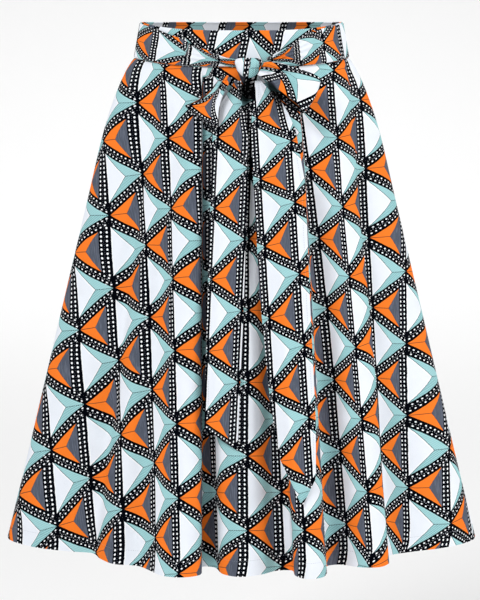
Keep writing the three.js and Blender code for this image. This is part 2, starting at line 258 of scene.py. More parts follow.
def wall(name, outer, uv, thickness, materials, flip=False, body_normals=None):
    """A closed thin wall: the outer grid, the same moved in by thickness, and its rim."""
    normals = body_normals
    if normals is None:
        normals = -grid_normals(outer) if flip else grid_normals(outer)
    inner = outer - normals * thickness
    rows, cols = outer.shape[:2]
    count = rows * cols
    points = np.vstack([outer.reshape(-1, 3), inner.reshape(-1, 3)]) * MM
    index = np.arange(count).reshape(rows, cols)
    a, b = index[:-1, :-1].ravel(), index[:-1, 1:].ravel()
    c, d = index[1:, 1:].ravel(), index[1:, :-1].ravel()
    front = np.column_stack([a, d, c, b])
    back = np.column_stack([a, b, c, d]) + count
    loop = np.concatenate([index[0, :-1], index[:-1, -1], index[-1, :0:-1], index[:0:-1, 0]])
    following = np.roll(loop, -1)
    rim = np.column_stack([loop, following, following + count, loop + count])
    if flip:
        front, back, rim = front[:, ::-1], back[:, ::-1], rim[:, ::-1]
    faces = np.vstack([front, back, rim])
    slots = np.repeat([0, 1, 0], [len(front), len(back), len(rim)])
    piece = linked(name, points, faces.tolist(), materials)
    corner = np.empty(len(piece.data.loops), dtype=np.int32)
    piece.data.loops.foreach_get("vertex_index", corner)
    lay_print(piece.data, np.vstack([uv.reshape(-1, 2)] * 2)[corner])
    piece.data.polygons.foreach_set("material_index", slots.astype(np.int32))
    piece.data.set_sharp_from_angle(angle=math.radians(SHARP_DEGREES))
    piece.data.update()
    return piece


def place(piece, node):
    """Ties a piece to the part's body in place of a node, and gives it back."""
    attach(piece, "root")
    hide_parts(node)
    return piece


# The print and the cloth, as node trees of plain arithmetic

def operation(kind):
    """A method of Value that makes a math node of one kind."""
    def method(self, *others):
        return self.node(kind, *others)
    return method


class Value:
    """A number in a node tree, so that a formula reads as a formula."""

    def __init__(self, tree, socket):
        self.tree = tree
        self.socket = socket

    def node(self, kind, *others, clamp=False):
        """A math node on this value and others."""
        made = self.tree.nodes.new("ShaderNodeMath")
        made.operation = kind
        made.use_clamp = clamp
        for i, item in enumerate((self, *others)):
            if isinstance(item, Value):
                self.tree.links.new(item.socket, made.inputs[i])
            else:
                made.inputs[i].default_value = item
        return Value(self.tree, made.outputs[0])

    def __neg__(self):
        return self.node("MULTIPLY", -1.0)

    __add__ = operation("ADD")
    __sub__ = operation("SUBTRACT")
    __mul__ = operation("MULTIPLY")
    __truediv__ = operation("DIVIDE")
    below = operation("LESS_THAN")
    above = operation("GREATER_THAN")
    fract = operation("FRACT")
    floor = operation("FLOOR")
    size = operation("ABSOLUTE")
    both = operation("MULTIPLY")
    either = operation("MAXIMUM")


def axes(tree, vector):
    """The three parts of a vector, as numbers."""
    split = tree.nodes.new("ShaderNodeSeparateXYZ")
    tree.links.new(vector, split.inputs[0])
    return [Value(tree, socket) for socket in split.outputs]


def mix(tree, share, first, second):
    """A colour between two, each of them a socket or a colour."""
    made = tree.nodes.new("ShaderNodeMix")
    made.data_type = "RGBA"
    tree.links.new(share.socket, made.inputs["Factor"])
    for name, item in (("A", first), ("B", second)):
        socket = [s for s in made.inputs if s.name == name and s.type == "RGBA"][0]
        if isinstance(item, tuple):
            socket.default_value = item
        else:
            tree.links.new(item, socket)
    return [s for s in made.outputs if s.type == "RGBA"][0]


def noise(tree, vector, scale, detail=2.0, stretch=None):
    """Soft noise of 0 to 1 on the cloth."""
    if stretch:
        mapping = tree.nodes.new("ShaderNodeMapping")
        mapping.inputs["Scale"].default_value = stretch
        tree.links.new(vector, mapping.inputs["Vector"])
        vector = mapping.outputs[0]
    made = tree.nodes.new("ShaderNodeTexNoise")
    made.inputs["Scale"].default_value = scale
    made.inputs["Detail"].default_value = detail
    tree.links.new(vector, made.inputs["Vector"])
    return Value(tree, made.outputs["Fac"])


def wander(tree, vector, scale, detail, reach):
    """A distance in millimetres, to either side of 0, by which printed edges wander."""
    return (noise(tree, vector, scale, detail) - 0.5) * reach


def dots(along, across, spacing, size=1.0):
    """Oval dots in one row on each side of a strip's middle line."""
    step = ((along / spacing).fract() - 0.5) * (spacing / DOT_LONG / size)
    side = (across.size() - DOT_ROW) / (DOT_SHORT * size)
    return (step * step + side * side).below(1.0)


def specks(along, across, spacing, sway, radius):
    """Small marks along the middle of a strip, which sway from side to side."""
    step = ((along / spacing).fract() - 0.5) * spacing
    side = across + (along * (math.pi * 0.55 / spacing)).node("SINE") * sway
    return (step * step + side * side).below(radius * radius)


INK = {
    "black": srgb(1, 3, 9), "white": srgb(243, 245, 249), "pale": srgb(233, 238, 246),
    "aqua": srgb(164, 210, 213), "aqua_line": srgb(84, 140, 146), "orange": srgb(247, 126, 44),
    "grey": srgb(84, 90, 103), "grey_streak": srgb(100, 106, 120), "line": srgb(30, 40, 48),
    "speck": srgb(205, 208, 216), "faint_speck": srgb(112, 117, 126),
}


def print_colour(tree, vector):
    """The colour of the printed cloth at a point given in metres of cloth."""
    cloth = axes(tree, vector)
    across = cloth[0] / MM + wander(tree, vector, *WANDER_ACROSS)
    across = across + wander(tree, vector, *JITTER_ACROSS)
    up = cloth[1] / MM + wander(tree, vector, *WANDER_UP)
    column = (across / PITCH).floor()
    x = (across / PITCH).fract() * PITCH
    odd = (column * 0.5).fract()
    height = up / REPEAT + odd
    signed_y = (height.fract() - 0.5) * REPEAT
    left_y = (((height + 0.5).fract() - 0.5) * REPEAT).size()
    right_y = signed_y.size()
    white_reach = PITCH - APEX_GAP - WHITE_START
    orange_reach = PITCH - APEX_GAP - UPRIGHT_WIDTH

    def triangle(from_base, off, half_base, reach, grow=0.0):
        edge = (-from_base + reach) * (half_base / reach) + grow
        return off.below(edge).both(from_base.above(-grow * 0.6))

    from_white = x - WHITE_START
    aqua = triangle(from_white, right_y, WHITE_HALF_BASE, white_reach)
    white_tip = white_reach * WHITE_POINT
    white = triangle(from_white, right_y, WHITE_HALF_BASE, white_tip)
    white_outline = triangle(from_white, right_y, WHITE_HALF_BASE, white_tip, OUTLINE)
    pale = triangle(from_white, right_y, WHITE_HALF_BASE, white_tip, -WHITE_RIM * 2)
    from_orange = -x + (PITCH - UPRIGHT_WIDTH)
    orange = triangle(from_orange, left_y, ORANGE_HALF_BASE, orange_reach)
    grey_tip = orange_reach * GREY_POINT
    grey = triangle(from_orange, left_y, ORANGE_HALF_BASE, grey_tip)
    grey_outline = triangle(from_orange, left_y, ORANGE_HALF_BASE, grey_tip, FINE_OUTLINE)

    steepness = (WHITE_HALF_BASE / white_reach + ORANGE_HALF_BASE / orange_reach) / 2
    slant = math.atan(steepness)
    middle = (WHITE_HALF_BASE + REPEAT / 2) / 2
    off_slant = (right_y + x * steepness - middle) * math.cos(slant)
    run = x * math.cos(slant) - right_y * math.sin(slant) + REPEAT
    upright = x - (PITCH - UPRIGHT_MIDDLE)
    on_slant = off_slant.size().below(SLANT_HALF)
    clear_of_tip = (x - PITCH / 2).size().below(PITCH / 2 - TIP_CLEAR)
    slant_dots = dots(run, off_slant, SLANT_PITCH, SLANT_DOT_SIZE).both(on_slant).both(clear_of_tip)
    upright_dots = dots(up, upright, REPEAT / DOTS_UP).both(off_slant.size().above(SLANT_HALF + 0.3))
    slant_specks = specks(run, off_slant, SLANT_PITCH / 2, *SLANT_SPECKS).both(clear_of_tip)
    upright_specks = specks(up, upright, REPEAT / DOTS_UP / 2, *UPRIGHT_SPECKS)

    colour = mix(tree, upright_specks, INK["black"], INK["faint_speck"])
    colour = mix(tree, slant_specks, colour, INK["speck"])
    colour = mix(tree, upright_dots.either(slant_dots), colour, INK["white"])
    hatch = ((x * 0.5 + signed_y * 0.85) / HATCH[0]).fract().below(HATCH[1])
    strength = signed_y.below(0.0) * HATCH_STRENGTH[1] + HATCH_STRENGTH[0]
    aqua_colour = mix(tree, hatch * strength, INK["aqua"], INK["aqua_line"])
    ridge_line = right_y.below(RIDGE_LINE).both((x / RIDGE_DASH[0]).fract().above(RIDGE_DASH[1]))
    aqua_colour = mix(tree, ridge_line * LINE_STRENGTH, aqua_colour, INK["line"])
    colour = mix(tree, aqua, colour, aqua_colour)
    colour = mix(tree, white_outline.both(aqua) * LINE_STRENGTH, colour, INK["line"])
    colour = mix(tree, white, colour, INK["white"])
    colour = mix(tree, pale, colour, INK["pale"])
    orange_colour = mix(tree, left_y.below(0.45) * LINE_STRENGTH, INK["orange"], INK["line"])
    colour = mix(tree, orange, colour, orange_colour)
    colour = mix(tree, grey_outline.both(orange) * LINE_STRENGTH, colour, INK["line"])
    streak = noise(tree, vector, STREAKS[0], 1.0, (1.0, 0.06, 1.0))
    grey_colour = mix(tree, streak.above(STREAKS[1]), INK["grey"], INK["grey_streak"])
    return mix(tree, grey, colour, grey_colour)


FOLD_EDGE = 1.6
# Painted shade in deep folds of the bow, where little light comes in: the middle's x and z, half the
# width and the height, the lean in degrees, and how dark it gets. One is under the knot, one in the
# right loop. Depth isn't tested, so the back of the skirt is darkened at the same two places.
PAINTED_FOLD_SHADE = [
    (7.0, -92.0, 12.0, 19.0, 0, 0.93),
    (44.0, -94.0, 6.5, 27.0, 25, 0.85),
]


def painted_fold_light(tree):
    """Painted shade: the share of light given to the cloth's colour, less in the bow's deep folds, in
    front and behind.
    """
    at = axes(tree, tree.nodes.new("ShaderNodeTexCoord").outputs["Object"])
    light = None
    for x, z, half_width, half_height, lean, dark in PAINTED_FOLD_SHADE:
        right = at[0] / MM - x
        up = at[2] / MM - z
        turn = math.radians(lean)
        aside = (right * math.cos(turn) + up * math.sin(turn)) / half_width
        along = (up * math.cos(turn) - right * math.sin(turn)) / half_height
        inside = (-(aside * aside + along * along) + 1.0).node("MULTIPLY", FOLD_EDGE, clamp=True)
        share = -(inside * dark) + 1.0
        light = share if light is None else light * share
    return light


def matt(name, colour, roughness, specular):
    """A plain matt material and its shader."""
    material = bpy.data.materials.new(name)
    material.use_nodes = True
    shader = material.node_tree.nodes["Principled BSDF"]
    shader.inputs["Base Color"].default_value = colour
    shader.inputs["Roughness"].default_value = roughness
    shader.inputs["Specular IOR Level"].default_value = specular
    return material, shader


def printed_cotton(name, shade):
    """Printed plain-weave cotton. shade darkens the colour: a little on the reverse, and much more as
    painted shade on the insides of the bow's loops.
    """
    material, shader = matt(name, INK["pale"], COTTON_ROUGHNESS, COTTON_SPECULAR)
    tree = material.node_tree
    uv = tree.nodes.new("ShaderNodeUVMap")
    uv.uv_map = "cloth"
    vector = uv.outputs[0]
    colour = print_colour(tree, vector)
    mottle = noise(tree, vector, MOTTLE_SCALE, 4.0)
    weave = thread_height(tree, vector)
    # The colour is scaled by shade and darkened by painted shade in the bow's deep folds.
    lightness = (mottle * MOTTLE_TONE + weave * WEAVE_TONE + DARKEST_TONE) * shade * painted_fold_light(tree)
    toned = tree.nodes.new("ShaderNodeVectorMath")
    toned.operation = "SCALE"
    tree.links.new(colour, toned.inputs[0])
    tree.links.new(lightness.socket, toned.inputs["Scale"])
    tree.links.new(toned.outputs[0], shader.inputs["Base Color"])
    roughness = mottle * MOTTLE_TONE + COTTON_ROUGHNESS
    tree.links.new(roughness.socket, shader.inputs["Roughness"])
    shader.inputs["Sheen Weight"].default_value = COTTON_SHEEN
    shader.inputs["Sheen Roughness"].default_value = 0.5
    shader.inputs["Sheen Tint"].default_value = (1, 1, 1, 1)
    bump = tree.nodes.new("ShaderNodeBump")
    bump.inputs["Strength"].default_value = BUMP_STRENGTH
    bump.inputs["Distance"].default_value = BUMP_DEPTH_M
    height = weave + noise(tree, vector, SLUB_SCALE, 3.0) * SLUB_HEIGHT
    tree.links.new(height.socket, bump.inputs["Height"])
    tree.links.new(bump.outputs[0], shader.inputs["Normal"])
    return material


def thread_height(tree, vector):
    """Warp and weft of a plain weave, two threads to the millimetre."""
    turns = 2 * math.pi / MM
    warp, weft = [(part * turns).node("SINE") for part in axes(tree, vector)[:2]]
    return warp * weft


# The skirt's panels

def drop_at(x, z, side):
    """The drop below the seam, 0 to FULL_DROP, of a height z."""
    seam_z = -BAND_HEIGHT - (dip(x / SEAM[0]) if side == FRONT else 0)
    return np.clip((seam_z - z) / (seam_z - HEM_Z), 0, 1) * FULL_DROP


def developed(seam_line, hem_line, pleats):
    """Flat place and direction of each fold line, by laying the strips beside each other."""
    count = len(seam_line)
    place_x, place_y, lean = np.zeros(count), np.zeros(count), np.zeros(count)
    middle = int(np.argmin(np.abs(seam_line[:, 0])))
    hidden = np.repeat(pleats[:-1], CURVE_STEPS)

    def step(i, j, sign):
        strip = min(i, j)
        low = np.linalg.norm(hem_line[strip + 1] - hem_line[strip])
        high = np.linalg.norm(seam_line[strip + 1] - seam_line[strip])
        high = low if hidden[strip] else high * GATHER
        turn = sign * (low - high) / FULL_DROP
        lean[j] = lean[i] + turn
        half = lean[i] + turn / 2
        place_x[j] = place_x[i] + sign * high * math.cos(half)
        place_y[j] = place_y[i] + sign * high * math.sin(half)

    for i in range(middle, count - 1):
        step(i, i + 1, 1)
    for i in range(middle, 0, -1):
        step(i, i - 1, -1)
    return place_x, place_y, lean


# Soft creases: x and z at the upper end, length, width and depth, and how far x moves on the way.
FRONT_CREASES = [
    (6, -64, 62, 9, 15.0, 2), (12, -110, 330, 7, 7.0, 2),
    (-128, -64, 260, 9, 1.6, -46), (-112, -60, 420, 12, 1.8, -62), (-96, -66, 160, 7, 1.3, -22),
    (-84, -62, 320, 10, 1.6, -34), (-70, -62, 140, 6, 1.6, -10), (-62, -90, 300, 9, -1.6, -10),
    (-140, -210, 330, 20, -2.4, -60), (-170, -330, 300, 26, 2.6, -40),
    (-205, -420, 260, 22, -2.6, -40), (-120, -380, 260, 18, -2.2, -24),
    (84, -66, 130, 6, 1.8, 8), (94, -64, 260, 8, 2.0, 26), (104, -64, 180, 7, 1.6, 24),
    (116, -62, 360, 10, 2.0, 56), (130, -66, 240, 9, 1.6, 46), (138, -200, 330, 18, 2.6, 40),
    (170, -300, 330, 20, -2.8, 40), (215, -430, 260, 20, 2.6, 34), (128, -420, 240, 12, -2.0, 12),
]
BACK_CREASES = [
    (-124, -56, 300, 9, 1.7, -50), (-104, -56, 200, 8, 1.6, -26), (-86, -56, 380, 10, 1.9, -40),
    (-64, -56, 160, 7, 1.6, -12), (-44, -56, 260, 8, 1.8, -14), (-24, -56, 180, 7, 1.5, -4),
    (-4, -56, 320, 9, 1.8, 2), (18, -56, 200, 7, 1.6, 8), (40, -56, 300, 9, 1.9, 16),
    (60, -56, 170, 7, 1.6, 14), (82, -56, 380, 10, 1.9, 40), (104, -56, 220, 8, 1.6, 34),
    (126, -56, 300, 9, 1.7, 52), (-190, -330, 320, 24, -2.6, -46), (-110, -360, 280, 18, 2.4, -20),
    (20, -330, 300, 20, -2.4, 10), (120, -380, 280, 18, 2.4, 26), (200, -340, 320, 24, -2.6, 50),
]


# A crease deepens and then fades out over these shares of its length, and widens on the way.
CREASE_START = (-0.08, 0.12)
CREASE_FADE = (0.45, 1.0)
CREASE_WIDENING = 0.8


def crease_depth(x, z, creases):
    """How far the cloth lies in, at each point, for all the creases of a panel."""
    total = np.zeros_like(x)
    for top_x, top_z, length, width, depth, drift in creases:
        along = (top_z - z) / length
        window = smooth(*CREASE_START, along) * (1 - smooth(*CREASE_FADE, along))
        line = top_x + drift * np.clip(along, 0, 1)
        grown = width * (1 + CREASE_WIDENING * np.clip(along, 0, 1))
        off = (x - line) / grown
        total += depth * window * np.exp(-off * off)
    return total


def seen(points):
    """Where points in millimetres stand in the photograph, in pixels across and down."""
    away = points[..., 1] + CAMERA_DISTANCE / MM
    depth = away * math.cos(TILT) - points[..., 2] * math.sin(TILT)
    up = away * math.sin(TILT) + points[..., 2] * math.cos(TILT)
    across = FRAME_WIDE_PX / 2 + FOCAL_PX * (points[..., 0] - AXIS_SHIFT_M / MM) / depth
    return across, FRAME_HIGH_PX / 2 - FOCAL_PX * up / depth


def line_place(row, across, height, arc):
    """How far along one row of the panel a line of the print crosses it."""
    curve = np.polyfit(GRAIN_HEIGHTS, row[1:4], 2)
    first, last = row[5] * CURVE_STEPS, row[6] * CURVE_STEPS + 1
    below_seam = np.maximum(height[first:last] - SEAM_PX, 0)
    pull = SEAM_PULL.get(row[0], 0) * np.exp(-below_seam / PULL_FADE)
    line = np.polyval(curve, height[first:last]) + pull
    off = across[first:last] - line
    off = np.maximum.accumulate(off + np.arange(len(off)) * 1e-4)
    if off[0] > 0:
        return arc[first] - off[0] * MM_PER_PX
    if off[-1] < 0:
        return arc[last - 1] - off[-1] * MM_PER_PX
    return np.interp(0, off, arc[first:last])


def grain(grid, down, folds, lines):
    """Cloth coordinates of a panel on which the print's lattice lines run where they are seen."""
    across, height = seen(grid)
    arc = arc_length(grid, axis=1)
    rows = range(len(grid))
    place_of = np.array([[line_place(line, across[i], height[i], arc[i]) for line in lines]
                         for i in rows])
    kernel = np.ones(2 * LINE_BLUR + 1) / (2 * LINE_BLUR + 1)
    place_of = np.stack([np.convolve(np.pad(column, LINE_BLUR, "edge"), kernel, "valid")
                         for column in place_of.T], axis=1)
    place_of = np.maximum.accumulate(place_of + np.arange(len(lines)) * 1e-3, axis=1)
    down = GRAIN_EASE[0] * down + GRAIN_EASE[1] * down ** 2
    shifts = []
    for j, line in enumerate(lines):
        heights = [np.interp(place_of[i, j], arc[i], height[i]) for i in rows]
        drops = [np.interp(place_of[i, j], arc[i], down[i]) for i in rows]
        shift = np.interp(line[4], heights, drops) + line[0] % 2 * REPEAT / 2
        if shifts:
            shift -= round((shift - shifts[-1]) / REPEAT) * REPEAT
        shifts.append(shift)
    uv = np.zeros((*arc.shape, 2))
    counts = np.array([line[0] for line in lines]) * PITCH
    pleats = [k * CURVE_STEPS for k, fold in enumerate(folds) if fold[3]]
    for i in rows:
        knots, values = [], []
        for j in range(len(lines)):
            knots.append(place_of[i, j])
            values.append(counts[j])
            inside = [k for k in pleats if j + 1 < len(lines)
                      and place_of[i, j] < arc[i, k]
                      and arc[i, k + CURVE_STEPS] < place_of[i, j + 1]]
            if inside:
                first, last = arc[i, inside[0]], arc[i, inside[-1] + CURVE_STEPS]
                knots += [first, last]
                values.append(counts[j] + first - place_of[i, j])
                values.append(counts[j + 1] + last - place_of[i, j + 1])
        knots = np.array([knots[0] - PAST_LINES, *knots, knots[-1] + PAST_LINES])
        values = np.array([values[0] - PAST_LINES, *values, values[-1] + PAST_LINES])
        uv[i, :, 0] = np.interp(arc[i], knots, values)
        uv[i, :, 1] = np.interp(arc[i], place_of[i], shifts) - down[i]
    return uv


def skirt_panel(folds, side, creases, lines):
    """A panel's grid, the normals of its smooth form, and its cloth coordinates."""
    drops = np.linspace(0, 1, PANEL_ROWS) ** ROW_EASE * FULL_DROP
    seam_line = plan_line(folds, side, 0.0)
    hem_line = plan_line(folds, side, 1.0)
    seam_z = -BAND_HEIGHT - (dip(seam_line[:, 0] / SEAM[0]) if side == FRONT else 0) - SEAM_GAP
    grid = np.zeros((PANEL_ROWS, len(seam_line), 3))
    for i, (drop, spread) in enumerate(zip(drops, flare(drops))):
        grid[i, :, :2] = plan_line(folds, side, spread)
        grid[i, :, 2] = seam_z + (HEM_Z - seam_z) * drop / FULL_DROP
    pleats = np.array([row[3] for row in folds])
    place_x, place_y, lean = developed(seam_line, hem_line, pleats)
    down = arc_length(grid)
    if lines:
        uv = grain(grid, down, folds, lines)
    else:
        uv = np.stack([-place_x - down * np.sin(lean), place_y - down * np.cos(lean)], axis=2)
    normals = grid_normals(grid) * -side
    if normals[PANEL_ROWS // 2, len(seam_line) // 2, 1] * side < 0:
        normals = -normals
    tuck = SEAM_TUCK[0] * (1 - smooth(0, SEAM_TUCK[1], down))
    edge = smooth(0, SIDE_FADE, np.abs(np.abs(grid[:, :, 0]) - np.abs(grid[:, -1:, 0])))
    inset = tuck + crease_depth(grid[:, :, 0], grid[:, :, 2], creases) * edge
    grid -= normals * inset[:, :, None]
    grid[:, :, 1] = side * np.maximum(side * grid[:, :, 1], SEAM_GAP / 2)
    return grid, normals, uv


DEPTH_ROWS = 60
DEPTH_STEP = 2.0
DEPTH_HALF_WIDE = 150
DEPTH_SPAN = 30


def frontness(span):
    """A function for how far out the front of the skirt lies, over its folds within span."""
    levels = np.linspace(0, FULL_DROP, DEPTH_ROWS)
    xs = np.arange(-DEPTH_HALF_WIDE, DEPTH_HALF_WIDE + 1, DEPTH_STEP)
    table = []
    for spread in flare(levels):
        line = plan_line(FRONT_FOLDS, FRONT, spread)
        table.append([-line[np.abs(line[:, 0] - x) <= span + 3, 1].min() for x in xs])
    table = np.array(table)
    kernel = np.hanning(span) / np.hanning(span).sum()
    table = np.array([np.convolve(np.pad(row, span // 2, "edge"), kernel, "same")
                      [span // 2:span // 2 + len(xs)] for row in table])

    def depth_at(x, z):
        drop = drop_at(x, z, FRONT)
        i = np.clip(drop / levels[1], 0, len(levels) - 1.001)
        j = np.clip((x - xs[0]) / DEPTH_STEP, 0, len(xs) - 1.001)
        i0, j0 = i.astype(int), j.astype(int)
        fi, fj = i - i0, j - j0
        low = table[i0, j0] * (1 - fj) + table[i0, j0 + 1] * fj
        high = table[i0 + 1, j0] * (1 - fj) + table[i0 + 1, j0 + 1] * fj
        return low * (1 - fi) + high * fi

    return depth_at


# The waistband and the arms of the sash

BAND_LINE_X = -30.0
BAND_WHITE_Z = -4.7
BAND_SQUEEZE = 0.8
EDGE_ROUND = 0.9
BROAD_WAVE = 0.5
FINE_WAVE = 0.3
PUCKER = 0.35


def band_point(angle, share, side, offset):
    """A point of the band: angle round from the left, share down, and offset out."""
    half_wide, half_deep = [WAIST[k] + (SEAM[k] - WAIST[k]) * share + offset for k in (0, 1)]
    across = -np.cos(angle)
    top = -dip(across) if side == FRONT else np.zeros_like(across)
    y = side * np.maximum(half_deep * np.sin(angle), SEAM_GAP / 2)
    return np.stack([half_wide * across, y, top - BAND_HEIGHT * share], axis=-1)


def waistband(side):
    """Half of the band, with a lattice line at BAND_LINE_X and a white triangle at BAND_WHITE_Z."""
    angle, share = np.meshgrid(np.linspace(0, math.pi, 181), np.linspace(0, 1, 19))
    rounding = -EDGE_ROUND * (1 - smooth(0, 0.05, share) + smooth(0.95, 1, share))
    waves = BROAD_WAVE * np.sin(angle * 9 + 1.3) * np.sin(share * 3.1)
    waves += FINE_WAVE * np.sin(angle * 23 + share * 4)
    pucker = PUCKER * np.sin(angle * 74) * smooth(0.72, 0.98, share)
    fade = smooth(0, 0.12, np.sin(angle))
    grid = band_point(angle, share, side, rounding + (waves + pucker - 0.5) * fade)
    along = arc_length(grid, axis=1)
    start = np.interp(BAND_LINE_X, grid[0, :, 0], along[0])
    u = -side * (along - start) / BAND_SQUEEZE
    return grid, np.stack([u, grid[..., 2] - BAND_WHITE_Z + REPEAT / 2], axis=-1)


# An arm in rows from the side seam to the knot: x, and its upper and lower edge below the band's top.
ARM_LEFT = [(-137, 1, 47), (-110, 4, 47), (-80, 12, 47.6), (-50, 24, 47.6), (-19, 36, 47.6),
            (-7, 38, 47.6)]
ARM_RIGHT = [(137, 1, 47), (112, 1.5, 47.6), (92, 3, 47.6), (62, 20, 47.6), (31, 36, 47.6)]
# Ridges of an arm: place across it from its upper edge, height, and where along it they start.
LEFT_RIDGES = [(0.08, 2.0, 0.0), (0.38, 2.4, 0.35), (0.62, 3.2, 0.2), (0.9, 2.0, 0.45)]
RIGHT_RIDGES = [(0.06, 2.6, 0.0), (0.25, 3.8, 0.2), (0.44, 3.2, 0.05), (0.64, 3.8, 0.3),
                (0.86, 3.0, 0.15)]
TIE_WIDTH = 66.0
RIDGE_HALF = (0.11, 0.08)
ARM_LIFT = 0.7
EDGE_ROLL = 0.8
KNOT_RISE = 1.2


def sash_arm(rows, ridges, line_x, white_at, squeeze, widths, tuck):
    """An arm. Its print has a lattice line at line_x and a white triangle white_at across it.

    squeeze is how far the cloth is gathered along the arm to the left and the right of that line,
    widths is the cloth across the arm's two ends, and tuck what a fold at the line hides.
    """
    rows = np.array(rows, float)
    order = np.argsort(rows[:, 0])
    start, end = (math.acos(-x / WAIST[0]) for x in (rows[0, 0], rows[-1, 0]))
    share, across = np.meshgrid(np.linspace(0, 1, 121), np.linspace(0, 1, 61), indexing="ij")
    angle = start + (end - start) * share
    x = -WAIST[0] * np.cos(angle)
    top = np.interp(x, rows[order, 0], rows[order, 1])
    foot = np.interp(x, rows[order, 0], rows[order, 2])
    down = (top + (foot - top) * across) / BAND_HEIGHT
    height = np.zeros_like(share)
    for middle, rise, begins in ridges:
        narrow = RIDGE_HALF[0] + (RIDGE_HALF[1] - RIDGE_HALF[0]) * share
        off = (across - middle) / narrow
        height += rise * smooth(begins, 1.0, share) * np.exp(-off * off)
    roll = EDGE_ROLL * (1 - smooth(0, 0.04, across) + smooth(0.96, 1, across))
    offset = ARM_LIFT + WALL + height + KNOT_RISE * smooth(0.55, 1, share) - roll * 0.6
    grid = band_point(angle, down, FRONT, offset)
    along = arc_length(grid)
    sign = np.sign(rows[-1, 0] - rows[0, 0])
    start = np.interp(line_x * sign, grid[:, 0, 0] * sign, along[:, 0])
    width = widths[0] + (widths[1] - widths[0]) * share ** 1.5
    u = sign * (along - start)
    u = u / np.where(u < 0, squeeze[0], squeeze[1])
    v = (white_at - across) * width + REPEAT / 2 + tuck * smooth(-4, -9, u)
    return grid, np.stack([u, v], axis=-1)


# The bow

HANG_EASE = 1.024
NECK_GATHER = (-150.0, 0.0064)
TAIL_LIFT = 1.0
TAIL_SWELL = 1.6
TAIL_RIPPLE = 0.8
TAIL_EDGE = 0.035


def planar_print(x, z, origin, lean, skew, squeeze, gather):
    """Cloth coordinates on a tail, from a lattice point of its print. The cloth is gathered in its
    width above NECK_GATHER's height, and in its length above gather's, by so much a millimetre."""
    turn = math.radians(lean)
    across = (x - origin[0]) * math.cos(turn) + (z - origin[1]) * math.sin(turn)
    up = -(x - origin[0]) * math.sin(turn) + (z - origin[1]) * math.cos(turn)
    narrowed = 1 + NECK_GATHER[1] * np.maximum(z - NECK_GATHER[0], 0)
    shortened = gather[1] * np.maximum(z - gather[0], 0)
    return np.stack([across / squeeze * narrowed, HANG_EASE * up + skew * across + shortened], axis=-1)


# A tail in rows from the knot down: z, and the x of its left and right edge.
TAIL_LEFT = [(-77, -8, -2), (-88, -15, 0.5), (-104, -26, -1), (-117, -34, 2.5), (-130, -37, 5),
             (-144, -38, 7.5), (-230, -41, 6.5), (-360, -45, 2), (-527, -49, -6)]
TAIL_RIGHT = [(-77, 18, 28), (-88, 18, 36), (-100, 17, 50), (-120, 13.5, 62), (-140, 12.5, 71),
              (-210, 15.5, 84), (-360, 24, 90), (-500, 38, 97), (-569, 51, 97)]
# The cut end of a tail: places across it, and how far it hangs below the last row there.
TAIL_LEFT_END = ((0, 1), (0, 30))
TAIL_RIGHT_END = ((0, 0.62, 1), (0, 57, 22))


def tail(rows, end, depth_at, folds, curl):
    """A hanging tail. Its folds run down it: place across, drift on the way, height, and width."""
    rows = np.array(rows, float)[::-1]
    share, across = np.meshgrid(np.linspace(0, 1, 140), np.linspace(0, 1, 49), indexing="ij")
    z = rows[-1, 0] + (rows[0, 0] - rows[-1, 0]) * share
    left = np.interp(z, rows[:, 0], rows[:, 1])
    right = np.interp(z, rows[:, 0], rows[:, 2])
    x = left + (right - left) * across
    z = z - np.interp(across, *end) * share ** 2
    lift = TAIL_LIFT + WALL + TAIL_SWELL * (1 - (2 * across - 1) ** 4) * smooth(0, 0.2, share)
    for middle, drift, height, width in folds:
        off = (across - middle - drift * share) / width
        lift = lift + height * np.exp(-off * off) * smooth(0, 0.1, share)
    lift = lift + curl[0] * np.exp(-across / TAIL_EDGE) + curl[1] * np.exp(-(1 - across) / TAIL_EDGE)
    lift = lift + TAIL_RIPPLE * np.sin(share * 17 + across * 2) * smooth(0.1, 0.3, share)
    return np.stack([x, -depth_at(x, z) - lift, z], axis=-1)


OVER_ARM = 5.0
OVER_ARM_Z = (-68, -58)
LOOP_GATHER = 1.3
LOOP_WAVE = 1.2


def bow_loop(at, length, lean, neck, bend, fullness, swell, lift, puff, belly, slip,
             print_from, print_turn, print_phase, print_squeeze, depth_at):
    """A loop: out from the knot behind, round its end, and back to the knot in front.

    at, length and lean place it, neck and bend are its widths at the knot and at its end, and swell,
    lift, puff, belly and slip shape its two layers. The rest places the print on it.
    """
    turn, across = np.meshgrid(np.linspace(0, math.pi, 121), np.linspace(-1, 1, 49), indexing="ij")
    reach = np.sin(turn) ** 0.8
    direction = math.radians(lean)
    half = (neck + (bend - neck) * reach ** fullness) / 2
    bow_out = belly * (1 - across ** 2) * reach ** 3
    along = length * reach + bow_out
    sideways = across * half - slip * np.cos(turn) * reach ** 0.5
    x = at[0] + along * math.sin(direction) + sideways * math.cos(direction)
    z = at[1] - along * math.cos(direction) + sideways * math.sin(direction)
    front = smooth(math.pi * 0.42, math.pi * 0.6, turn)
    gathers = LOOP_GATHER * np.cos(across * 8.5) * (1 - reach) ** 0.7
    out = lift + swell * (1 - np.cos(turn)) / 2 + puff * np.sin(turn) ** 2 * front
    out = out + (gathers + LOOP_WAVE * np.sin(across * 2.6 + 0.6) * reach) * front
    out = out + OVER_ARM * smooth(*OVER_ARM_Z, z)
    grid = np.stack([x, -depth_at(x, z) - out, z], axis=-1)
    cloth = arc_length(grid)
    inward = (cloth - cloth[len(turn) // 2]) / print_squeeze - print_from
    flat = across * TIE_WIDTH / 2
    bias = math.radians(print_turn)
    u = inward * math.cos(bias) + flat * math.sin(bias)
    v = flat * math.cos(bias) - inward * math.sin(bias) + print_phase
    return grid, np.stack([u, v], axis=-1)


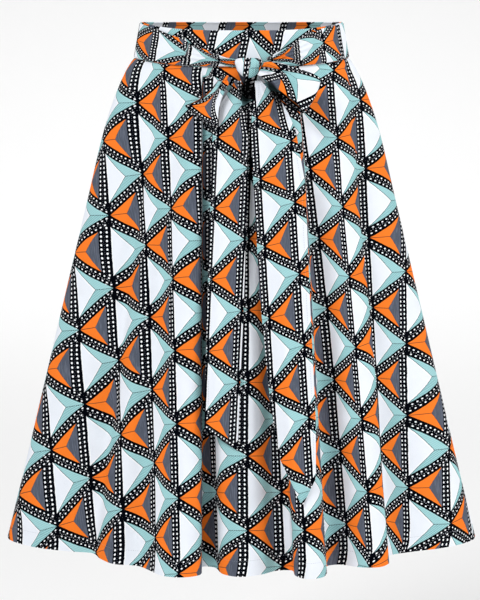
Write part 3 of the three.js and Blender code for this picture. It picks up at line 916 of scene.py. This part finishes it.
KNOT_AT = (9.0, -117.0, -60.0)
KNOT_HALF = (20.0, 10.5, 13.2)
KNOT_SQUARE = 0.66
KNOT_TAPER = (0.8, 0.36)
KNOT_PINCH = 0.16
KNOT_LEAN = 0.12
KNOT_SWELL = 0.38
KNOT_CREASE = 0.04
# Lobes of the knot's front: middle, half width, and height.
KNOT_LOBES = ((-2.5, 7.5, 1.0), (6.8, 4.0, 0.55), (16.0, 6.5, 0.95), (26.0, 5.5, 0.7))
KNOT_EASE = 0.9
# The print on the knot: places across it, and the cloth's place across and up there.
KNOT_X = (-10, 2, 3, 10.5, 11, 22, 23.5, 30)
KNOT_U = (2, 22, 43, 54, 30, 42, 60, 76)
KNOT_V = (3, 3, 22, 22, 0, 0, 2, 2)


def knot_surface():
    """The knot: a wrap that narrows downward, with a front that swells into upright lobes."""
    polar, angle = np.meshgrid(np.linspace(0.04, math.pi - 0.04, 61), np.linspace(0, 2 * math.pi, 161),
                               indexing="ij")
    unit = np.stack([np.sin(polar) * np.cos(angle), np.sin(polar) * np.sin(angle), np.cos(polar)], -1)
    squared = np.sign(unit) * np.abs(unit) ** KNOT_SQUARE
    front = smooth(0.1, -0.5, unit[..., 1])
    pinch = 1 - KNOT_PINCH * np.cos(unit[..., 2] * 2.4) * smooth(0.35, 1.0, np.abs(unit[..., 0]))
    x = KNOT_AT[0] + KNOT_HALF[0] * squared[..., 0] * (KNOT_TAPER[0] + KNOT_TAPER[1] * unit[..., 2])
    z = KNOT_AT[2] + KNOT_HALF[2] * squared[..., 2] * pinch
    lean = x - KNOT_LEAN * (z - KNOT_AT[2])
    swell = np.max([high * np.sqrt(np.clip(1 - ((lean - at) / half) ** 2, 0, 1))
                    for at, half, high in KNOT_LOBES], axis=0)
    depth = 1 + (KNOT_SWELL * (swell - 1) - KNOT_CREASE * np.cos(lean * 1.9)) * front
    grid = np.stack([x, KNOT_AT[1] + KNOT_HALF[1] * squared[..., 1] * depth, z], -1)
    v = REPEAT / 2 + (z - KNOT_AT[2]) * KNOT_EASE + np.interp(lean, KNOT_X, KNOT_V)
    return grid, np.stack([np.interp(lean, KNOT_X, KNOT_U), v], -1)


def closed_ball(name, grid, uv, material):
    """A closed skin from rings that share their first and last column, with two end points."""
    rings, cols = grid.shape[0], grid.shape[1] - 1
    body = grid[:, :cols].reshape(-1, 3)
    points = np.vstack([body, grid[0, :cols].mean(0), grid[-1, :cols].mean(0)]) * MM
    faces, corners = [], []
    for r in range(rings - 1):
        for c in range(cols):
            n = (c + 1) % cols
            faces.append((r * cols + c, (r + 1) * cols + c, (r + 1) * cols + n, r * cols + n))
            corners += [uv[r, c], uv[r + 1, c], uv[r + 1, c + 1], uv[r, c + 1]]
    top, foot = rings * cols, rings * cols + 1
    for c in range(cols):
        n = (c + 1) % cols
        faces += [(top, c, n), (foot, (rings - 1) * cols + n, (rings - 1) * cols + c)]
        corners += [uv[0, c], uv[0, c], uv[0, c + 1], uv[-1, c], uv[-1, c + 1], uv[-1, c]]
    piece = linked(name, points, faces, [material])
    lay_print(piece.data, np.array(corners))
    return piece


# Stitches, in millimetres: their pitch, length and width, and how far in from the edge they run.
# At a tail's corners they leave out this many columns or rows of its grid.

STITCH_STEP = 3.2
STITCH_LENGTH = 2.4
STITCH_WIDE = 0.4
HEM_TURN = 20.0
TAIL_HEM = 5.0
CORNER = 4


def edge_line(grid, normals, inset):
    """Points and normals of a line that follows the last row of a grid, inset from it."""
    up = arc_length(grid[::-1])
    points, facing = [], []
    for j in range(grid.shape[1]):
        i = np.interp(inset, up[:, j], np.arange(len(grid)))
        low = int(i)
        share = i - low
        for out, values in ((points, grid[::-1]), (facing, normals[::-1])):
            out.append(values[low, j] * (1 - share) + values[low + 1, j] * share)
    return np.array(points), np.array(facing)


def stitches(name, lines, material):
    """Lines of stitches as one piece, each stitch a small closed bead that lies on the cloth."""
    points, faces = [], []
    for line, facing in lines:
        along = arc_length(line)
        for at in np.arange(STITCH_STEP, along[-1] - STITCH_STEP, STITCH_STEP):
            ends = [np.array([np.interp(end, along, line[:, k]) for k in range(3)])
                    for end in (at - STITCH_LENGTH / 2, at + STITCH_LENGTH / 2)]
            out = np.array([np.interp(at, along, facing[:, k]) for k in range(3)])
            out /= np.linalg.norm(out)
            course = (ends[1] - ends[0]) / np.linalg.norm(ends[1] - ends[0])
            aside = np.cross(out, course) * STITCH_WIDE / 2
            middle = (ends[0] + ends[1]) / 2
            first = len(points)
            points += [ends[0], ends[1], middle + aside, middle - aside, middle + out * STITCH_WIDE,
                       middle - out * STITCH_WIDE / 2]
            for a, b in ((2, 4), (4, 3), (3, 5), (5, 2)):
                faces.append((first, first + b, first + a))
                faces.append((first + 1, first + a, first + b))
    piece = linked(name, np.array(points) * MM, faces, [material], smooth_faces=False)
    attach(piece, "root")


# The studio, in metres

FLOOR_Z = -1.04
FLOOR_HALF = 40.0
WALL_Y = 7.0
WALL_HIGH = 3.0
COVE = 1.2
PALE = (0.9, 0.9, 0.9, 1)
WORLD_STRENGTH = 0.48
SKIRT_MIDDLE = (0.0, 0.0, -0.35)
# Lights: name, place, what it is aimed at, width and height, and power in watts.
LIGHTS = [
    ("key", (-1.7, -2.4, 1.9), SKIRT_MIDDLE, (1.2, 1.2), 77.0),
    ("side", (2.7, -0.9, 0.9), SKIRT_MIDDLE, (1.4, 1.4), 50.0),
    ("backdrop", (0.0, 5.0, 3.4), (0.0, 5.8, FLOOR_Z), (7.0, 4.0), 145.0),
]


def make_camera():
    """The camera stands where the photograph's did, with its lens."""
    data = bpy.data.cameras.new("camera")
    data.sensor_width = 36.0
    data.lens = FOCAL_PX / FRAME_HIGH_PX * data.sensor_width
    camera = bpy.data.objects.new("camera", data)
    camera.location = (AXIS_SHIFT_M, -CAMERA_DISTANCE, 0.0)
    camera.rotation_euler = (math.pi / 2 - TILT, 0.0, 0.0)
    bpy.context.scene.collection.objects.link(camera)
    bpy.context.scene.camera = camera


def make_light(name, place_at, aim, size, power):
    """A rectangular soft light that points at aim."""
    data = bpy.data.lights.new(name, "AREA")
    data.shape = "RECTANGLE"
    data.size, data.size_y = size
    data.energy = power
    light = bpy.data.objects.new(name, data)
    light.location = place_at
    direction = np.array(aim) - np.array(place_at)
    light.rotation_mode = "QUATERNION"
    light.rotation_quaternion = Vector(direction).to_track_quat("-Z", "Y")
    bpy.context.scene.collection.objects.link(light)


def make_studio():
    """A pale floor that curves up into a pale wall behind, and three soft lights."""
    profile = [(-FLOOR_HALF, 0.0)]
    for turn in np.linspace(0, math.pi / 2, 17):
        profile.append((WALL_Y - COVE + COVE * math.sin(turn), COVE * (1 - math.cos(turn))))
    profile.append((WALL_Y, WALL_HIGH))
    points = np.array([(x, y, FLOOR_Z + z) for x in (-FLOOR_HALF, FLOOR_HALF) for y, z in profile])
    count = len(profile)
    faces = [(i, i + count, i + count + 1, i + 1) for i in range(count - 1)]
    floor = linked("studio_floor", points, faces, [matt("pale_floor", PALE, 0.9, 0.0)[0]])
    world = bpy.data.worlds.new("studio_world")
    world.use_nodes = True
    background = world.node_tree.nodes["Background"]
    background.inputs["Color"].default_value = (1.0, 1.0, 1.0, 1)
    background.inputs["Strength"].default_value = WORLD_STRENGTH
    bpy.context.scene.world = world
    for light in LIGHTS:
        make_light(*light)
    bpy.context.scene.view_settings.view_transform = "Standard"


# The pieces, put together

make_camera()
make_studio()

FACE = printed_cotton("printed_cotton_face", 1.0)
REVERSE = printed_cotton("printed_cotton_reverse", 0.8)
# Painted shade: the print at three tenths of its brightness, for the insides of the bow's loops.
LOOP_PAINTED_SHADE = printed_cotton("printed_cotton_painted_shade_inside_bow", 0.3)
CLOTH = (FACE, REVERSE)

# Panels: fold lines, side, creases, and the print's lines where the photograph shows them.
PANELS = {
    "front": (FRONT_FOLDS, FRONT, FRONT_CREASES, FRONT_GRAIN),
    "back": (BACK_FOLDS, BACK, BACK_CREASES, None),
}
panel_pieces, hem_lines = {}, {}
for name, panel in PANELS.items():
    grid, normals, uv = skirt_panel(*panel)
    piece = wall(f"{name}_panel", grid, uv, WALL, CLOTH, flip=name == "back", body_normals=normals)
    panel_pieces[name] = place(piece, f"skirt_{name}")
    hem_lines[name] = edge_line(grid, normals, HEM_TURN)

depth_near = frontness(DEPTH_SPAN)

for node, side in (("waistband_front", FRONT), ("waistband_back", BACK)):
    grid, uv = waistband(side)
    piece = wall(node.replace("waistband", "band"), grid, uv, BAND_WALL, CLOTH, flip=side == BACK)
    place(piece, node)

ARMS = {
    "left": dict(rows=ARM_LEFT, ridges=LEFT_RIDGES, line_x=-65.0, white_at=0.5,
                 squeeze=(1.0, 0.72), widths=(66, 76), tuck=REPEAT / 2),
    "right": dict(rows=ARM_RIGHT, ridges=RIGHT_RIDGES, line_x=75.0, white_at=0.4,
                  squeeze=(0.75, 0.75), widths=(BAND_HEIGHT, 96), tuck=0),
}
for hand, arm in ARMS.items():
    grid, uv = sash_arm(**arm)
    piece = wall(f"arm_{hand}", grid, uv, WALL, CLOTH, flip=hand == "left")
    place(piece, f"sash_arm_{hand}")

knot = place(closed_ball("knot", *knot_surface(), FACE), "bow_knot")

LOOPS = {
    "left": dict(at=(-19, -70), length=62, lean=-32, neck=12, bend=52, fullness=3.2, swell=12,
                 lift=4.6, puff=5, belly=4, slip=2, print_from=-36.5, print_turn=58,
                 print_phase=58.4, print_squeeze=0.72),
    "right": dict(at=(25, -61), length=76, lean=62, neck=16, bend=48, fullness=0.7, swell=20,
                  lift=3.0, puff=7, belly=4, slip=7, print_from=8, print_turn=19,
                  print_phase=REPEAT / 2, print_squeeze=1.0),
}
for hand, size in LOOPS.items():
    grid, uv = bow_loop(depth_at=depth_near, **size)
    # Each loop's inside and rim take the cloth with painted shade, and its face the plain print.
    piece = wall(f"loop_{hand}", grid, uv, WALL, (LOOP_PAINTED_SHADE, FACE))
    place(piece, f"bow_loop_{hand}")

TAILS = {
    "left": dict(rows=TAIL_LEFT, end=TAIL_LEFT_END, curl=(0.3, 2.6),
                 folds=[(0.3, 0.0, 1.6, 0.16), (0.7, 0.06, 1.2, 0.12)]),
    "right": dict(rows=TAIL_RIGHT, end=TAIL_RIGHT_END, curl=(0.4, 0.6),
                  folds=[(0.52, -0.1, 4.5, 0.13), (0.2, 0.1, 1.6, 0.12)]),
}
TAIL_PRINTS = {
    "left": dict(origin=(-31, -150.5), lean=-2.6, skew=-0.2, squeeze=0.745, gather=(-150, 0.15)),
    "right": dict(origin=(25, -200), lean=3.63, skew=-0.2, squeeze=0.78, gather=(-235, 0.17)),
}
tail_pieces, tail_grids = {}, {}
for hand, shape in TAILS.items():
    grid = tail(depth_at=depth_near, **shape)
    tail_grids[hand] = grid
    uv = planar_print(grid[..., 0], grid[..., 2], **TAIL_PRINTS[hand])
    piece = wall(f"tail_{hand}_cloth", grid, uv, WALL, CLOTH)
    tail_pieces[hand] = place(piece, f"tail_{hand}")

THREAD = matt("thread", srgb(150, 157, 166), THREAD_ROUGHNESS, THREAD_SPECULAR)[0]
for name, line in hem_lines.items():
    stitches(f"hem_stitches_{name}", [line], THREAD)
for hand, grid in tail_grids.items():
    facing = grid_normals(grid)
    end = edge_line(grid[:, CORNER:-CORNER], facing[:, CORNER:-CORNER], TAIL_HEM)
    sides = [edge_line(np.swapaxes(grid[:-CORNER, ::way], 0, 1),
                       np.swapaxes(facing[:-CORNER, ::way], 0, 1), TAIL_HEM) for way in (1, -1)]
    stitches(f"tail_stitches_{hand}", [end, *sides], THREAD)
